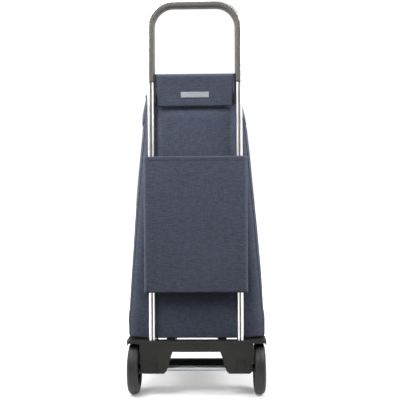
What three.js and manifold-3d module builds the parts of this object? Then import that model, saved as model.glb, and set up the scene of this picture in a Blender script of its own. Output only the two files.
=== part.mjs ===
// Two-wheeled folding shopping trolley: a bent tube frame with a moulded chassis, a fabric bag
// hung between the tubes, and a rod platform that hinges on the chassis and folds up flat.
// Millimetres, +Z up, +X to the user's right, +Y away from the user who holds the handle.

import * as THREE from 'three';
import { ConvexGeometry } from 'three/addons/geometries/ConvexGeometry.js';
import { mergeVertices } from 'three/addons/utils/BufferGeometryUtils.js';
import Module from 'manifold-3d';

const wasm = await Module();
wasm.setup();

// ---- Driving dimensions. Heights are above the ground, depths are from the wheel axle. ----

const GAP = 0.3; // left between pieces that touch
const TOTAL_HEIGHT = 1012;
const FRONT_Y = 262; // front of the foot skid
const SIDES = [['left', -1], ['right', 1]];

const WHEEL = {
  radius: 66, width: 28.5, x: 161.75, rimRadius: 50, rimThick: 6, rimHalf: 11, spokes: 5,
  spokeWidth: 11, webHalf: 5,
};
const HUB = { radius: 15, half: 13, bush: 8.2, cap: 10, spacer: 10, spacerInX: 143 };
const AXLE = { radius: 5.5, z: WHEEL.radius, halfLength: 177 };
const MID_Y = (FRONT_Y - WHEEL.radius) / 2; // middle of the trolley, front to back

// The frame tube's section: width across the trolley, depth front to back, wall, and a groove
// along its back and front faces, set a little towards the middle of the trolley.
const TUBE = {
  width: 15.2, depth: 24, corner: 5.2, wall: 1.6, grooveAt: 0.8, grooveWidth: 4, grooveDepth: 2,
  x: 113.3, y: -20, bottomZ: 80, bend: 60, bendSteps: 10,
};
const GRIP = { thick: 2.8, bareRim: 5.2, corner: 7, bottomZ: 803, notchClearance: 2 };
const TOP_Z = TOTAL_HEIGHT - TUBE.width / 2; // centreline of the frame's top bar

const CHASSIS = {
  rearY: -34, footFrontY: 14, apron: 5, deckTopZ: 142.7, deckBottomZ: 136, deckFrontY: -10,
  halfWidth: 179, guardInX: 105, guardFrontY: 44, lipThick: 1.8, lipBottomZ: 128, lipSlope: 4,
  beamBottomZ: 114.5, beamHalf: 70, corner: 8,
};
// One foot seen from behind: x and z down its inner edge, along the bottom and up the outer edge.
const FOOT_OUTLINE = [
  [61, 136], [61, 114], [66.5, 98], [71, 80], [77, 65], [83, 59], [136, 59], [141.5, 64],
  [143.5, 96], [145.5, 136],
];
const RIDGE = { half: 10, z: [61, 64, 88, 94], rise: [1, 3.6, 3.6, 0.5] };
const LUG = { inX: 55, outX: 78, rearY: -12 };
// The same for a hinge lug seen from the side: y and z, from the pivot's underside to the deck.
const LUG_FRONT = [
  [46, 126], [56, 131], [59, 135], [59, 143.2], [56, 146.2], [36, 146.2], [22, CHASSIS.deckTopZ],
];
const PLATFORM = {
  pivotY: 48, pivotZ: 139, rod: 5, x: 125, frontY: 251, bend: 14, shoulderX: 103, shoulderY: 93,
};
const SKID = { halfWidth: 137, rearY: 240, height: 33, round: 6 };
const PLATE = { halfWidth: 131, rearY: 78, frontY: 243, thick: 2, corner: 16 };
const SADDLE = { y: [165, 187], wall: 2.6 };
const PIVOT_CLIP = { radius: 7.2, thick: 1.7 };

const BAR = { radius: 7, z: 816, halfLength: TUBE.x - TUBE.width / 2 - GAP };
const BAND = { halfWidth: 99.5, bottomZ: 748, inner: 7.6, fabric: 2.4 };
const CLIP = {
  innerX: BAND.halfWidth + GAP, outerX: TUBE.x - TUBE.width / 2 - GAP, below: 11, above: 9,
  halfDepth: 11, bladeHalfDepth: 9, corner: 2.5,
};
const LABEL = { halfWidth: 36, bottomZ: 768, topZ: 783, thick: 0.8 };

// The bag tapers from its base to its mouth; each pair is [at the base, at the mouth].
const BAG = {
  z: [146.6, 772], half: [176, 128], rear: [-5, 0], front: [236, 196], wall: 3,
};
const SLEEVE = { halfWidth: 133, bottomZ: 266, topZ: 614, rearY: -37.5, wall: 2.5 };
// The lid's arch is a curve from its rear edge to its front edge, drawn towards a peak between them.
const LID = { half: 117.5, wall: 3, rearY: 0, bottomZ: 776, peakY: 100, peakZ: 848, frontZ: 786 };
// Distances of the layers at the bag's mouth from its front panel, nearest and farthest face.
const FLAP = { half: 112, bottomZ: 690, layer: [2.9, 5.9] };
const STRIP = { half: 40, z: [700, 725], hook: [1.6, 2.6], loop: [GAP, 1.3] };
const TAB = { half: 12, bottomZ: 668, layer: [3.2, 5.6] };

// ---- Materials ----

const finish = (color, roughness, metalness = 0) =>
  new THREE.MeshStandardMaterial({ color, roughness, metalness });

const MATERIALS = {
  fabric: finish(0x4d5466, 0.9),
  aluminium: finish(0xc9cac8, 0.28, 1),
  grip: finish(0x6f6b67, 0.6),
  plastic: finish(0x343432, 0.55),
  tyre: finish(0x3a3a39, 0.8),
  zinc: finish(0xb4b8bb, 0.35, 1),
  rod: finish(0x1d1d1e, 0.45, 0.4),
  webbing: finish(0x23252b, 0.9),
  label: finish(0xd9dadb, 0.7),
};

// ---- Ways of making a solid ----

// Two distances from the trolley's middle, as a rising pair of x values on one side of it.
const span = (side, a, b) => (side > 0 ? [a, b] : [-b, -a]);

// Turns a drawing in x and y, extruded along z, into one in y and z, extruded along x.
const YZ_PLANE = new THREE.Matrix4().makeBasis(
  new THREE.Vector3(0, 1, 0), new THREE.Vector3(0, 0, 1), new THREE.Vector3(1, 0, 0));

// Each of these draws a shape in the two other axes and extrudes it along the one it is named for.

function alongX(shapeYZ, x0, x1, curveSegments = 8) {
  const depth = x1 - x0;
  const geometry = new THREE.ExtrudeGeometry(shapeYZ, { depth, curveSegments, bevelEnabled: false });
  return geometry.applyMatrix4(YZ_PLANE).translate(x0, 0, 0);
}

function alongY(shapeXZ, y0, y1, curveSegments = 8) {
  const depth = y1 - y0;
  const geometry = new THREE.ExtrudeGeometry(shapeXZ, { depth, curveSegments, bevelEnabled: false });
  return geometry.rotateX(Math.PI / 2).translate(0, y1, 0);
}

function alongZ(shapeXY, z0, z1, curveSegments = 8) {
  const depth = z1 - z0;
  const geometry = new THREE.ExtrudeGeometry(shapeXY, { depth, curveSegments, bevelEnabled: false });
  return geometry.translate(0, 0, z0);
}

function polygon(points) {
  return new THREE.Shape(points.map(([a, b]) => new THREE.Vector2(a, b)));
}

function roundedRectangle(a0, a1, b0, b1, r) {
  const shape = new THREE.Shape();
  shape.moveTo(a0 + r, b0);
  shape.lineTo(a1 - r, b0);
  shape.absarc(a1 - r, b0 + r, r, -Math.PI / 2, 0);
  shape.lineTo(a1, b1 - r);
  shape.absarc(a1 - r, b1 - r, r, 0, Math.PI / 2);
  shape.lineTo(a0 + r, b1);
  shape.absarc(a0 + r, b1 - r, r, Math.PI / 2, Math.PI);
  shape.lineTo(a0, b0 + r);
  shape.absarc(a0 + r, b0 + r, r, Math.PI, Math.PI * 1.5);
  return shape;
}

// The convex solid whose corners lie at every combination of the given x, y and z values, where
// x and y may depend on z.
function taperedBlock(xAt, yAt, zs) {
  const corners = [];
  for (const z of zs) {
    for (const x of xAt(z)) for (const y of yAt(z, x)) corners.push(new THREE.Vector3(x, y, z));
  }
  return new ConvexGeometry(corners);
}

function rodAlongX(radius, x0, x1, y, z, sides = 24) {
  const geometry = new THREE.CylinderGeometry(radius, radius, x1 - x0, sides);
  return geometry.rotateZ(-Math.PI / 2).translate((x0 + x1) / 2, y, z);
}

function rodAlongY(radius, y0, y1, x, z, sides = 16) {
  const geometry = new THREE.CylinderGeometry(radius, radius, y1 - y0, sides);
  return geometry.translate(x, (y0 + y1) / 2, z);
}

// A ring or turned piece about the X axis; the profile is a list of [radius, x].
function turnedAboutX(profile, segments) {
  const points = [...profile, profile[0]].map(([r, x]) => new THREE.Vector2(r, x));
  return new THREE.LatheGeometry(points, segments).rotateZ(-Math.PI / 2);
}

function ringAboutX(inner, outer, x0, x1, y, z, segments = 24) {
  const profile = [[inner, x0], [outer, x0], [outer, x1], [inner, x1]];
  return turnedAboutX(profile, segments).translate(0, y, z);
}

// ---- Joining and cutting ----

function toSolid(geometry) {
  const bare = geometry.clone();
  bare.deleteAttribute('normal');
  bare.deleteAttribute('uv');
  const merged = mergeVertices(bare, 1e-4);
  return new wasm.Manifold(new wasm.Mesh({
    numProp: 3,
    vertProperties: new Float32Array(merged.attributes.position.array),
    triVerts: new Uint32Array(merged.index.array),
  }));
}

function toGeometry(solid) {
  const mesh = solid.getMesh();
  const geometry = new THREE.BufferGeometry();
  geometry.setAttribute('position', new THREE.BufferAttribute(mesh.vertProperties, 3));
  geometry.setIndex(new THREE.BufferAttribute(mesh.triVerts, 1));
  geometry.computeVertexNormals();
  return geometry;
}

const join = (geometries) => geometries.map(toSolid).reduce((a, b) => a.add(b));
const cut = (solid, geometries) => geometries.map(toSolid).reduce((a, b) => a.subtract(b), solid);

// ---- Bent tubes and rods ----

// A path through a list of stations, each a point and a tangent, so that an extrusion along it
// has no more steps than it needs.
class StationPath extends THREE.Curve {
  constructor(stations) {
    super();
    this.stations = stations;
  }

  get steps() { return this.stations.length - 1; }
  station(u) { return this.stations[Math.round(u * this.steps)]; }
  getPoint(t, target = new THREE.Vector3()) { return target.copy(this.station(t).at); }
  getPointAt(u, target) { return this.getPoint(u, target); }
  getTangent(t, target = new THREE.Vector3()) { return target.copy(this.station(t).tangent); }
  getTangentAt(u, target) { return this.getTangent(u, target); }
}

// Straight runs joined by round bends, with a station at each end of a run and at every step
// round a bend.
function bentPath(corners, radius, bendSteps) {
  const last = corners.length - 1;
  const heading = (i) => corners[i + 1].clone().sub(corners[i]).normalize();
  const stations = [{ at: corners[0], tangent: heading(0) }];
  for (let i = 1; i < last; i++) {
    const before = heading(i - 1);
    const after = heading(i);
    const turn = before.angleTo(after);
    const axis = before.clone().cross(after).normalize();
    const start = corners[i].clone().addScaledVector(before, -radius * Math.tan(turn / 2));
    const centre = start.clone().addScaledVector(axis.clone().cross(before), radius);
    for (let k = 0; k <= bendSteps; k++) {
      const angle = (turn * k) / bendSteps;
      stations.push({
        at: start.clone().sub(centre).applyAxisAngle(axis, angle).add(centre),
        tangent: before.clone().applyAxisAngle(axis, angle),
      });
    }
  }
  stations.push({ at: corners[last], tangent: heading(last - 1) });
  return new StationPath(stations);
}

function sweep(shape, path, curveSegments = 6) {
  return new THREE.ExtrudeGeometry(shape, { extrudePath: path, steps: path.steps, curveSegments });
}

// The frame's centreline, from the foot of one leg over the top bar to the foot of the other.
function framePath(bottomZ) {
  const corner = (x, z) => new THREE.Vector3(x, TUBE.y, z);
  const corners = [
    corner(-TUBE.x, bottomZ), corner(-TUBE.x, TOP_Z), corner(TUBE.x, TOP_Z), corner(TUBE.x, bottomZ),
  ];
  return bentPath(corners, TUBE.bend, TUBE.bendSteps);
}

// The tube's outline, grown by a margin. Along framePath the shape's first coordinate points to
// the back of the trolley and its second one to the inside of the frame.
function tubeOutline(margin, Kind = THREE.Shape) {
  const u = TUBE.depth / 2 + margin;
  const v = TUBE.width / 2 + margin;
  const r = TUBE.corner + margin;
  const g = TUBE.grooveAt;
  const halfGroove = TUBE.grooveWidth / 2 - margin;
  const shape = new Kind();
  shape.moveTo(-u + r, -v);
  shape.lineTo(u - r, -v);
  shape.quadraticCurveTo(u, -v, u, -v + r);
  shape.lineTo(u, g - halfGroove);
  shape.lineTo(u - TUBE.grooveDepth, g);
  shape.lineTo(u, g + halfGroove);
  shape.quadraticCurveTo(u, v, u - r, v);
  shape.lineTo(-u + r, v);
  shape.quadraticCurveTo(-u, v, -u, g + halfGroove);
  shape.lineTo(-u + TUBE.grooveDepth, g);
  shape.lineTo(-u, g - halfGroove);
  shape.lineTo(-u, -v + r);
  shape.quadraticCurveTo(-u, -v, -u + r, -v);
  return shape;
}

function roundRod(path, radius) {
  const section = new THREE.Shape();
  section.absarc(0, 0, radius, 0, Math.PI * 2);
  return sweep(section, path, 6);
}

// ---- Frame ----

const SCREW = { z: 100, shank: 2, head: 4.2, headThick: 2.6, reach: 20 };

function frameTube() {
  const outline = tubeOutline(0);
  outline.holes.push(tubeOutline(-TUBE.wall, THREE.Path));
  const tube = toSolid(sweep(outline, framePath(TUBE.bottomZ), 4));
  return toGeometry(cut(tube, SIDES.map(([, side]) =>
    rodAlongY(SCREW.shank + GAP, TUBE.y, CHASSIS.footFrontY, side * TUBE.x, SCREW.z))));
}

// The grip covers the back, the inside and the front of the tube and leaves its outer face bare.
function gripSection() {
  const outerU = TUBE.depth / 2 + GRIP.thick;
  const outerV = TUBE.width / 2 + GRIP.thick;
  const innerU = TUBE.depth / 2 + GAP;
  const innerV = TUBE.width / 2 + GAP;
  const edge = GRIP.bareRim - TUBE.width / 2;
  const turnU = TUBE.depth / 2 - TUBE.corner;
  const turnV = TUBE.grooveAt + TUBE.grooveWidth / 2;
  const shape = new THREE.Shape();
  shape.moveTo(outerU, edge);
  shape.lineTo(outerU, outerV - GRIP.corner);
  shape.quadraticCurveTo(outerU, outerV, outerU - GRIP.corner, outerV);
  shape.lineTo(-outerU + GRIP.corner, outerV);
  shape.quadraticCurveTo(-outerU, outerV, -outerU, outerV - GRIP.corner);
  shape.lineTo(-outerU, edge);
  shape.lineTo(-innerU, edge);
  shape.lineTo(-innerU, turnV);
  shape.quadraticCurveTo(-innerU, innerV, -turnU, innerV);
  shape.lineTo(turnU, innerV);
  shape.quadraticCurveTo(innerU, innerV, innerU, turnV);
  shape.lineTo(innerU, edge);
  return shape;
}

function handleGrip() {
  const grip = toSolid(sweep(gripSection(), framePath(GRIP.bottomZ), 4));
  // The lower ends are notched on the inside, where the hanger clips meet the tube.
  const notchHeight = BAR.z + CLIP.above + GRIP.notchClearance - GRIP.bottomZ;
  const notch = new THREE.BoxGeometry(2 * CLIP.outerX + GAP, 2 * TUBE.depth, 2 * notchHeight)
    .translate(0, TUBE.y, GRIP.bottomZ);
  return toGeometry(cut(grip, [notch]));
}

// ---- Chassis ----

const chassisFoot = (side) => alongY(
  polygon(FOOT_OUTLINE.map(([x, z]) => [side * x, z])), CHASSIS.rearY, CHASSIS.footFrontY);

// The swelling on the back of a foot, round the lower end of the tube's socket.
function socketRidge(side) {
  const rise = (z) => RIDGE.rise[RIDGE.z.indexOf(z)];
  return taperedBlock(
    () => [side * TUBE.x - RIDGE.half, side * TUBE.x + RIDGE.half],
    (z) => [CHASSIS.rearY - rise(z), CHASSIS.rearY + 2], RIDGE.z);
}

function hingeLug(side) {
  const outline = polygon([
    [LUG.rearY, CHASSIS.beamBottomZ], ...LUG_FRONT, [LUG.rearY, CHASSIS.deckTopZ],
  ]);
  return alongX(outline, ...span(side, LUG.inX, LUG.outX));
}

// The pocket is widest where the tube's outer face sits, so the right one is turned round.
function tubePocket(side) {
  const ends = [TUBE.bottomZ - GAP, CHASSIS.deckTopZ + 5].map((z) => new THREE.Vector3(0, 0, z));
  const pocket = sweep(tubeOutline(GAP), bentPath(ends, 1, 1), 4);
  if (side > 0) pocket.rotateZ(Math.PI);
  return pocket.translate(side * TUBE.x, TUBE.y, 0);
}

// The ledge over a wheel, with a lip that hangs down along its outer edge.
function wheelGuard(side) {
  const { rearY, deckBottomZ, deckTopZ, halfWidth, guardInX, guardFrontY, lipBottomZ } = CHASSIS;
  const ledge = roundedRectangle(
    ...span(side, guardInX, halfWidth), rearY - 2, guardFrontY, CHASSIS.corner);
  const [lipRearY, lipFrontY] = [rearY + CHASSIS.corner, guardFrontY - CHASSIS.corner];
  const lip = polygon([
    [lipRearY, deckBottomZ + 1], [lipRearY + CHASSIS.lipSlope, lipBottomZ],
    [lipFrontY - CHASSIS.lipSlope, lipBottomZ], [lipFrontY, deckBottomZ + 1],
  ]);
  return [
    alongZ(ledge, deckBottomZ, deckTopZ, 4),
    alongX(lip, ...span(side, halfWidth - CHASSIS.lipThick, halfWidth)),
  ];
}

function chassis() {
  const { rearY, deckBottomZ, deckTopZ, deckFrontY, halfWidth, beamHalf, beamBottomZ } = CHASSIS;
  const beam = polygon([
    [-beamHalf, beamBottomZ], [beamHalf, beamBottomZ], [beamHalf, deckBottomZ + 1],
    [-beamHalf, deckBottomZ + 1],
  ]);
  const pieces = [
    alongZ(roundedRectangle(-halfWidth, halfWidth, rearY - 2, deckFrontY, CHASSIS.corner),
      deckBottomZ, deckTopZ, 4),
    alongY(beam, rearY, rearY + CHASSIS.apron),
  ];
  const cuts = [rodAlongX(AXLE.radius + GAP, -AXLE.halfLength, AXLE.halfLength, 0, AXLE.z)];
  for (const [, side] of SIDES) {
    pieces.push(...wheelGuard(side), chassisFoot(side), socketRidge(side), hingeLug(side));
    cuts.push(
      tubePocket(side),
      rodAlongY(SCREW.shank + GAP, TUBE.y, CHASSIS.footFrontY + 2, side * TUBE.x, SCREW.z),
      rodAlongX(PLATFORM.rod + GAP, ...span(side, LUG.inX - 2, LUG.outX + 2),
        PLATFORM.pivotY, PLATFORM.pivotZ),
    );
  }
  return toGeometry(cut(join(pieces), cuts));
}

function tubeScrew(side) {
  const face = CHASSIS.footFrontY + GAP;
  return toGeometry(join([
    rodAlongY(SCREW.shank, face - SCREW.reach, face + 1, side * TUBE.x, SCREW.z),
    rodAlongY(SCREW.head, face, face + SCREW.headThick, side * TUBE.x, SCREW.z),
  ]));
}

// ---- Wheels ----

function tyre() {
  const w = WHEEL.width / 2;
  const r = WHEEL.radius;
  const profile = [
    [WHEEL.rimRadius, -w + 3], [r - 9, -w], [r - 4, -w + 1], [r - 1, -w + 5], [r, -w + 9],
    [r, w - 9], [r - 1, w - 5], [r - 4, w - 1], [r - 9, w], [WHEEL.rimRadius, w - 3],
  ];
  return turnedAboutX(profile, 48);
}

function wheelCentre() {
  const rim = WHEEL.rimRadius - GAP;
  const web = new THREE.Shape();
  web.absarc(0, 0, rim - 2, 0, Math.PI * 2);
  const step = (2 * Math.PI) / WHEEL.spokes;
  const outerR = rim - 7;
  const innerR = HUB.radius + 4;
  for (let i = 0; i < WHEEL.spokes; i++) {
    const middle = i * step;
    const outerHalf = step / 2 - WHEEL.spokeWidth / 2 / outerR;
    const innerHalf = step / 2 - WHEEL.spokeWidth / 2 / innerR;
    const hole = new THREE.Path();
    hole.absarc(0, 0, outerR, middle - outerHalf, middle + outerHalf);
    hole.absarc(0, 0, innerR, middle + innerHalf, middle - innerHalf, true);
    hole.closePath();
    web.holes.push(hole);
  }
  const body = join([
    alongX(web, -WHEEL.webHalf, WHEEL.webHalf, 8),
    ringAboutX(rim - WHEEL.rimThick, rim, -WHEEL.rimHalf, WHEEL.rimHalf, 0, 0, 48),
    rodAlongX(HUB.radius, -HUB.half, HUB.half, 0, 0),
  ]);
  return toGeometry(cut(body, [rodAlongX(HUB.bush + GAP, -WHEEL.width, WHEEL.width, 0, 0)]));
}

const bush = () => ringAboutX(AXLE.radius + GAP, HUB.bush, -HUB.half, HUB.half, 0, 0);

// A cap pushed over the axle's end, which keeps the wheel on.
function axleCap(side) {
  const faces = [WHEEL.x + HUB.half + GAP, CHASSIS.halfWidth - GAP];
  const hole = [WHEEL.x, AXLE.halfLength + GAP];
  const cap = toSolid(rodAlongX(HUB.cap, ...span(side, ...faces), 0, AXLE.z));
  return toGeometry(cut(cap, [rodAlongX(AXLE.radius + GAP, ...span(side, ...hole), 0, AXLE.z)]));
}

// A collar on the axle that keeps the wheel away from the foot.
function axleSpacer(side) {
  const ends = span(side, HUB.spacerInX, WHEEL.x - HUB.half - GAP);
  return ringAboutX(AXLE.radius + GAP, HUB.spacer, ...ends, 0, AXLE.z);
}

// ---- Folding platform ----

function platformPath() {
  const { pivotY, pivotZ, x, frontY, shoulderX, shoulderY } = PLATFORM;
  const right = [
    [LUG.inX - 4, pivotY, pivotZ], [shoulderX, pivotY, pivotZ], [x, shoulderY, pivotZ],
    [x, frontY, pivotZ], [x, frontY, SKID.height / 2],
  ];
  const left = right.map(([px, py, pz]) => [-px, py, pz]);
  const corners = [...left, ...right.reverse()].map((p) => new THREE.Vector3(...p));
  return bentPath(corners, PLATFORM.bend, 5);
}

function footSkid() {
  const outline = roundedRectangle(SKID.rearY, FRONT_Y, 0, SKID.height, SKID.round);
  const block = toSolid(alongX(outline, -SKID.halfWidth, SKID.halfWidth, 4));
  return toGeometry(cut(block, [roundRod(platformPath(), PLATFORM.rod + GAP)]));
}

function platformPlate() {
  const bottom = PLATFORM.pivotZ + PLATFORM.rod + GAP;
  const { halfWidth, rearY, frontY, corner, thick } = PLATE;
  const outline = roundedRectangle(-halfWidth, halfWidth, rearY, frontY, corner);
  return alongZ(outline, bottom, bottom + thick, 5);
}

// A saddle that grips a platform arm from below and is riveted to the plate's underside.
function plateClip(side) {
  const inner = PLATFORM.rod + GAP;
  const outer = inner + SADDLE.wall;
  const shape = new THREE.Shape();
  shape.absarc(0, 0, outer, Math.PI, 2 * Math.PI);
  shape.lineTo(outer, inner - GAP);
  shape.lineTo(inner, inner - GAP);
  shape.absarc(0, 0, inner, 0, Math.PI, true);
  shape.lineTo(-inner, inner - GAP);
  shape.lineTo(-outer, inner - GAP);
  return alongY(shape, ...SADDLE.y, 8).translate(side * PLATFORM.x, 0, PLATFORM.pivotZ);
}

// The spring ring that keeps the rod's end in its lug.
function pivotClip(side) {
  const ends = span(side, LUG.inX - GAP - PIVOT_CLIP.thick, LUG.inX - GAP);
  return ringAboutX(
    PLATFORM.rod + GAP, PIVOT_CLIP.radius, ...ends, PLATFORM.pivotY, PLATFORM.pivotZ);
}

// ---- Bag ----

const alongBag = (pair, z) =>
  pair[0] + ((pair[1] - pair[0]) * (z - BAG.z[0])) / (BAG.z[1] - BAG.z[0]);
const half = (z) => alongBag(BAG.half, z);
const rear = (z) => alongBag(BAG.rear, z);
const front = (z) => alongBag(BAG.front, z);

const bagBack = () => taperedBlock(
  (z) => [-half(z), half(z)], (z) => [rear(z), rear(z) + BAG.wall], BAG.z);
const bagFront = () => taperedBlock(
  (z) => [-half(z), half(z)], (z) => [front(z) - BAG.wall, front(z)], BAG.z);
const bagSide = (side) => taperedBlock(
  (z) => [side * half(z), side * (half(z) - BAG.wall)],
  (z) => [rear(z) + BAG.wall + GAP, front(z) - BAG.wall - GAP], BAG.z);

function bagBottom() {
  const inset = BAG.wall + GAP + 0.5;
  const [x, y0, y1] = [half(BAG.z[0]) - inset, rear(BAG.z[0]) + inset, front(BAG.z[0]) - inset];
  return alongZ(polygon([[-x, y0], [x, y0], [x, y1], [-x, y1]]), BAG.z[0], BAG.z[0] + BAG.wall);
}

// A slab that lies on the bag's front panel, between two distances from it.
const onFront = (halfWidth, [z0, z1], [near, far]) => taperedBlock(
  () => [-halfWidth, halfWidth], (z) => [front(z) + near, front(z) + far], [z0, z1]);

// The band loops over the crossbar and is sewn together below it.
function band() {
  const loop = (Kind, reach, bottomZ) => {
    const outline = new Kind();
    outline.moveTo(TUBE.y - reach, bottomZ);
    outline.lineTo(TUBE.y + reach, bottomZ);
    outline.lineTo(TUBE.y + reach, BAR.z);
    outline.absarc(TUBE.y, BAR.z, reach, 0, Math.PI);
    outline.lineTo(TUBE.y - reach, bottomZ);
    return outline;
  };
  const shape = loop(THREE.Shape, BAND.inner + BAND.fabric, BAND.bottomZ);
  shape.holes.push(loop(THREE.Path, BAND.inner, BAND.bottomZ + BAND.fabric));
  return alongX(shape, -BAND.halfWidth, BAND.halfWidth, 6);
}

function bandLabel() {
  const face = TUBE.y - BAND.inner - BAND.fabric - GAP;
  const outline = roundedRectangle(-LABEL.halfWidth, LABEL.halfWidth, LABEL.bottomZ, LABEL.topZ, 2);
  return alongY(outline, face - LABEL.thick, face, 3);
}

// The clip sits on the inner face of the tube, holds the crossbar and runs down beside the band.
function hangerClip(side) {
  const plate = (halfDepth, z0, z1) => alongX(
    roundedRectangle(TUBE.y - halfDepth, TUBE.y + halfDepth, z0, z1, CLIP.corner),
    ...span(side, CLIP.innerX, CLIP.outerX), 3);
  const body = join([
    plate(CLIP.halfDepth, BAR.z - CLIP.below, BAR.z + CLIP.above),
    plate(CLIP.bladeHalfDepth, BAND.bottomZ, BAR.z),
  ]);
  return toGeometry(cut(body, [rodAlongX(BAR.radius + GAP, -TUBE.x, TUBE.x, TUBE.y, BAR.z)]));
}

const sleevePanel = () => alongZ(polygon([
  [-SLEEVE.halfWidth, SLEEVE.rearY], [SLEEVE.halfWidth, SLEEVE.rearY],
  [SLEEVE.halfWidth, SLEEVE.rearY + SLEEVE.wall], [-SLEEVE.halfWidth, SLEEVE.rearY + SLEEVE.wall],
]), SLEEVE.bottomZ, SLEEVE.topZ);

const sleeveSide = (side) => taperedBlock(
  () => [side * SLEEVE.halfWidth, side * (SLEEVE.halfWidth - SLEEVE.wall)],
  (z) => [SLEEVE.rearY + SLEEVE.wall + GAP, rear(z) - GAP], [SLEEVE.bottomZ, SLEEVE.topZ]);

// ---- Lid ----

function lidArch(inset) {
  const shape = new THREE.Shape();
  const frontY = front(LID.frontZ) + FLAP.layer[1];
  shape.moveTo(LID.rearY + inset, LID.bottomZ);
  shape.quadraticCurveTo(LID.peakY, LID.peakZ - 2 * inset, frontY - inset, LID.frontZ);
  return shape;
}

function lidPanel() {
  const shape = lidArch(0);
  const inner = lidArch(LID.wall).getPoints(10).reverse();
  inner.forEach((p) => shape.lineTo(p.x, p.y));
  return alongX(shape, -LID.half, LID.half, 10);
}

function lidSide(side) {
  const shape = lidArch(0);
  shape.lineTo(front(LID.bottomZ) + FLAP.layer[1], LID.bottomZ);
  return alongX(shape, ...span(side, LID.half + GAP, LID.half + GAP + LID.wall), 10);
}

// ---- Assembly ----

const trolley = new THREE.Group();
trolley.position.y = -MID_Y;

function add(name, geometry, material, parent = trolley) {
  const mesh = new THREE.Mesh(geometry, MATERIALS[material]);
  mesh.name = name;
  parent.add(mesh);
}

add('frame_tube', frameTube(), 'aluminium');
add('handle_grip', handleGrip(), 'grip');
add('chassis', chassis(), 'plastic');
add('axle', rodAlongX(AXLE.radius, -AXLE.halfLength, AXLE.halfLength, 0, AXLE.z), 'zinc');
add('hanger_crossbar', rodAlongX(BAR.radius, -BAR.halfLength, BAR.halfLength, TUBE.y, BAR.z), 'zinc');

for (const [name, side] of SIDES) {
  const wheel = new THREE.Group();
  wheel.position.set(side * WHEEL.x, 0, AXLE.z);
  trolley.add(wheel);
  add(`tyre_${name}`, tyre(), 'tyre', wheel);
  add(`wheel_centre_${name}`, wheelCentre(), 'plastic', wheel);
  add(`hub_bush_${name}`, bush(), 'plastic', wheel);
  add(`axle_cap_${name}`, axleCap(side), 'plastic');
  add(`axle_spacer_${name}`, axleSpacer(side), 'plastic');
  add(`tube_screw_${name}`, tubeScrew(side), 'zinc');
  add(`hanger_clip_${name}`, hangerClip(side), 'plastic');
  add(`bag_side_${name}`, bagSide(side), 'fabric');
  add(`sleeve_side_${name}`, sleeveSide(side), 'fabric');
  add(`lid_side_${name}`, lidSide(side), 'fabric');
  add(`plate_clip_${name}`, plateClip(side), 'plastic');
  add(`pivot_clip_${name}`, pivotClip(side), 'zinc');
}

add('platform_rod', roundRod(platformPath(), PLATFORM.rod), 'rod');
add('foot_skid', footSkid(), 'plastic');
add('platform_plate', platformPlate(), 'plastic');

add('bag_back', bagBack(), 'fabric');
add('bag_front', bagFront(), 'fabric');
add('bag_bottom', bagBottom(), 'fabric');
add('bag_band', band(), 'fabric');
add('band_label', bandLabel(), 'label');
add('sleeve_panel', sleevePanel(), 'fabric');

add('lid_panel', lidPanel(), 'fabric');
add('lid_flap', onFront(FLAP.half, [FLAP.bottomZ, LID.frontZ - GAP], FLAP.layer), 'fabric');
add('flap_strip_hook', onFront(STRIP.half, STRIP.z, STRIP.hook), 'webbing');
add('flap_strip_loop', onFront(STRIP.half, STRIP.z, STRIP.loop), 'webbing');
add('lid_pull_tab', onFront(TAB.half, [TAB.bottomZ, FLAP.bottomZ - GAP], TAB.layer), 'webbing');

export default trolley;
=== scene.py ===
"""A two-wheeled folding shopping trolley, seen from the user's side.

Everything is in metres, in the row frame."""

import math

import bpy
import numpy as np
from mathutils import Euler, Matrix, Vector, noise


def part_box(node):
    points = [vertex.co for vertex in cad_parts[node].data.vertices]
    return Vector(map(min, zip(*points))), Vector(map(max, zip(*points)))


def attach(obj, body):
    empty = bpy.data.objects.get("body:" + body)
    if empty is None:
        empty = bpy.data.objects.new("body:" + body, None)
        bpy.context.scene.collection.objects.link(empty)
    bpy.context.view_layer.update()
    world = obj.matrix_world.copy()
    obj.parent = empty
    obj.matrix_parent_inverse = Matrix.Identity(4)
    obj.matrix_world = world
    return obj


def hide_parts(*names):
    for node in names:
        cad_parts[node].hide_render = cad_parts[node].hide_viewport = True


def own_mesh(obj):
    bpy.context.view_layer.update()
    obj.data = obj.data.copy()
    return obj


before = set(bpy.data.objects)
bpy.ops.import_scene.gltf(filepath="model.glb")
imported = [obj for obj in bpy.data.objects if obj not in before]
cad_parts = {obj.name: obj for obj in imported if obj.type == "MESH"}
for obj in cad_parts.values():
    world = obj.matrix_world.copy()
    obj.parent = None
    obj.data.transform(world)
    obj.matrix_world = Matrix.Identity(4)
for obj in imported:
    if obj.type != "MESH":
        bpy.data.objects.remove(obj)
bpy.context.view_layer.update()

MM = 0.001

# ---- Places and sizes, worked out from the frame ----

TUBE_LO, TUBE_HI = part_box("frame_tube")
GRIP_LO, GRIP_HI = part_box("handle_grip")
TUBE_WIDTH = 15.2 * MM
TUBE_BEND = 60 * MM
TUBE_X = TUBE_HI.x - TUBE_WIDTH / 2
TUBE_Y = (TUBE_LO.y + TUBE_HI.y) / 2
TUBE_DEPTH = TUBE_HI.y - TUBE_LO.y
GRIP_THICK = (GRIP_HI.y - GRIP_LO.y - TUBE_DEPTH) / 2
BAR_Z = TUBE_HI.z - TUBE_WIDTH / 2  # the centreline of the frame's top bar

AXLE_LO, AXLE_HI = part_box("axle")
AXLE = (AXLE_LO + AXLE_HI) / 2

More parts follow.
